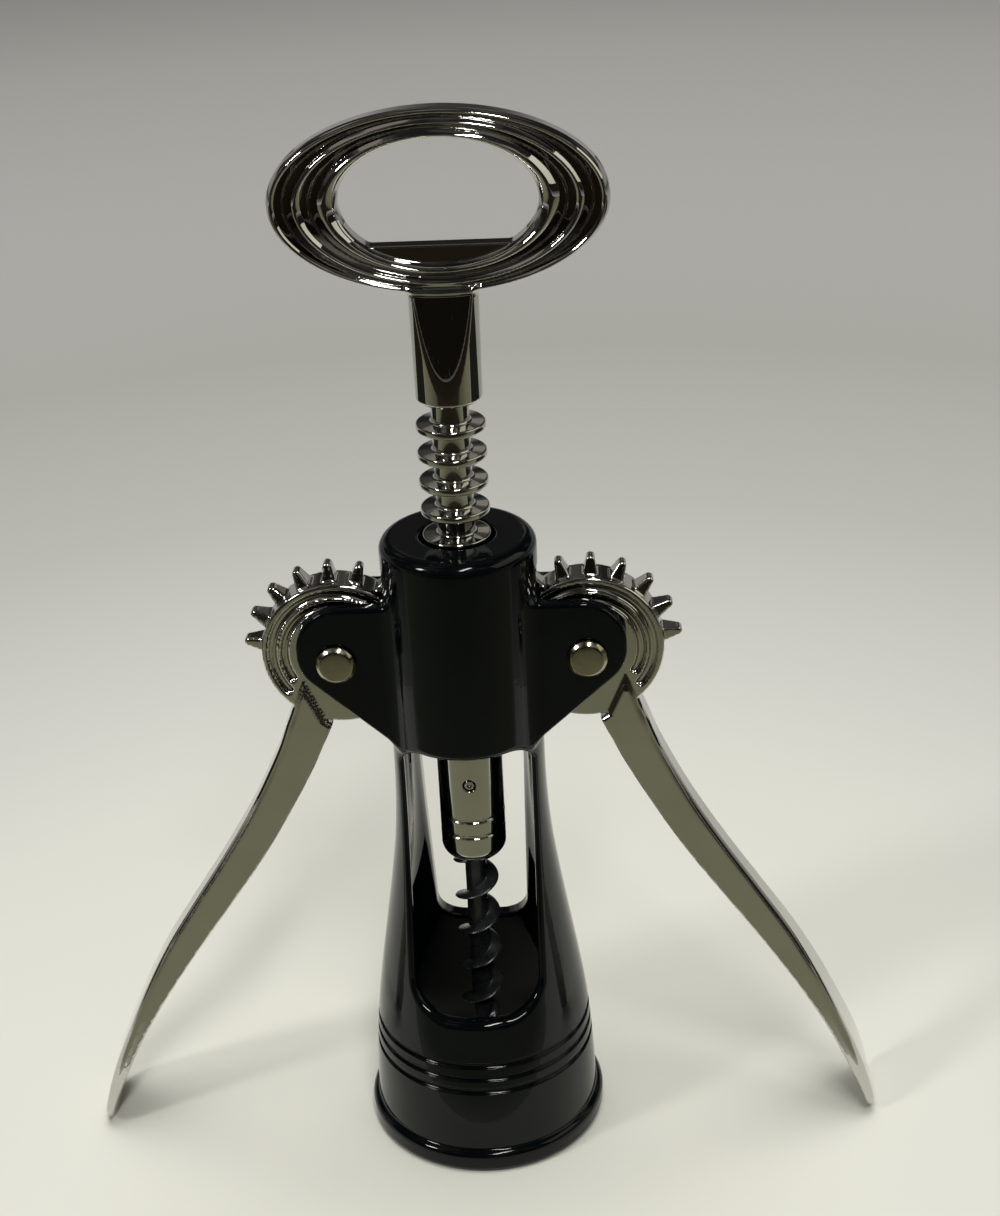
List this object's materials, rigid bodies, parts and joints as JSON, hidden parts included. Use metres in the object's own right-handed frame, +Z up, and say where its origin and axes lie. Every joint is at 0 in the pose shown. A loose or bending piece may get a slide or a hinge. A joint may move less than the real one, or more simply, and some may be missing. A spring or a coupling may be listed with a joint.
{
  "type": "wing corkscrew",
  "caption": "Rack-and-pinion lever corkscrew: turning the oval handle drives the worm in and lifts both wings, and pressing the wings down draws the cork.",
  "frame": {"origin": "centre of the foot's underside, where it stands on a table or a bottle", "axes": "+Z up the spindle; the levers open along X; the front, with the pin heads, faces -Y"},
  "size_m": [0.153, 0.0458, 0.1991],
  "materials": {
    "black_lacquer": "gloss black enamel on die-cast zinc",
    "pin_nickel": "polished nickel",
    "bright_chrome": "polished chrome",
    "worm_coating": "satin non-stick coating",
    "dark_chrome": "polished black nickel"
  },
  "bodies": {
    "frame": {"body_casting": "black_lacquer", "pivot_pin_left": "pin_nickel", "pivot_pin_right": "pin_nickel", "pivot_cap_left": "pin_nickel", "pivot_cap_right": "pin_nickel"},
    "wing_left": {"lever_left": "bright_chrome"},
    "wing_right": {"lever_right": "bright_chrome"},
    "carriage": {"rack": "bright_chrome"},
    "spindle": {"spindle_rod": "bright_chrome", "worm_pin": "bright_chrome", "worm": "worm_coating", "handle": "dark_chrome"}
  },
  "joints": [
    {"name": "rack_slide", "type": "slide", "parent": "frame", "child": "carriage", "axis": [0, 0, 1], "range_m": [-0.032, 0.003]},
    {"name": "spindle_turn", "type": "hinge", "parent": "carriage", "child": "spindle", "pos_m": [0, 0, 0.12], "axis": [0, 0, 1], "continuous": true},
    {"name": "left_wing_pivot", "type": "hinge", "parent": "frame", "child": "wing_left", "pos_m": [-0.0222, 0, 0.1026], "axis": [0, 1, 0], "range_deg": [-12.5, 125]},
    {"name": "right_wing_pivot", "type": "hinge", "parent": "frame", "child": "wing_right", "pos_m": [0.0222, 0, 0.1026], "axis": [0, -1, 0], "range_deg": [-12.5, 125]}
  ],
  "couplings": [
    {"joint": "left_wing_pivot", "follows": "rack_slide", "rad_per_m": -67.385},
    {"joint": "right_wing_pivot", "follows": "rack_slide", "rad_per_m": -67.385}
  ]
}
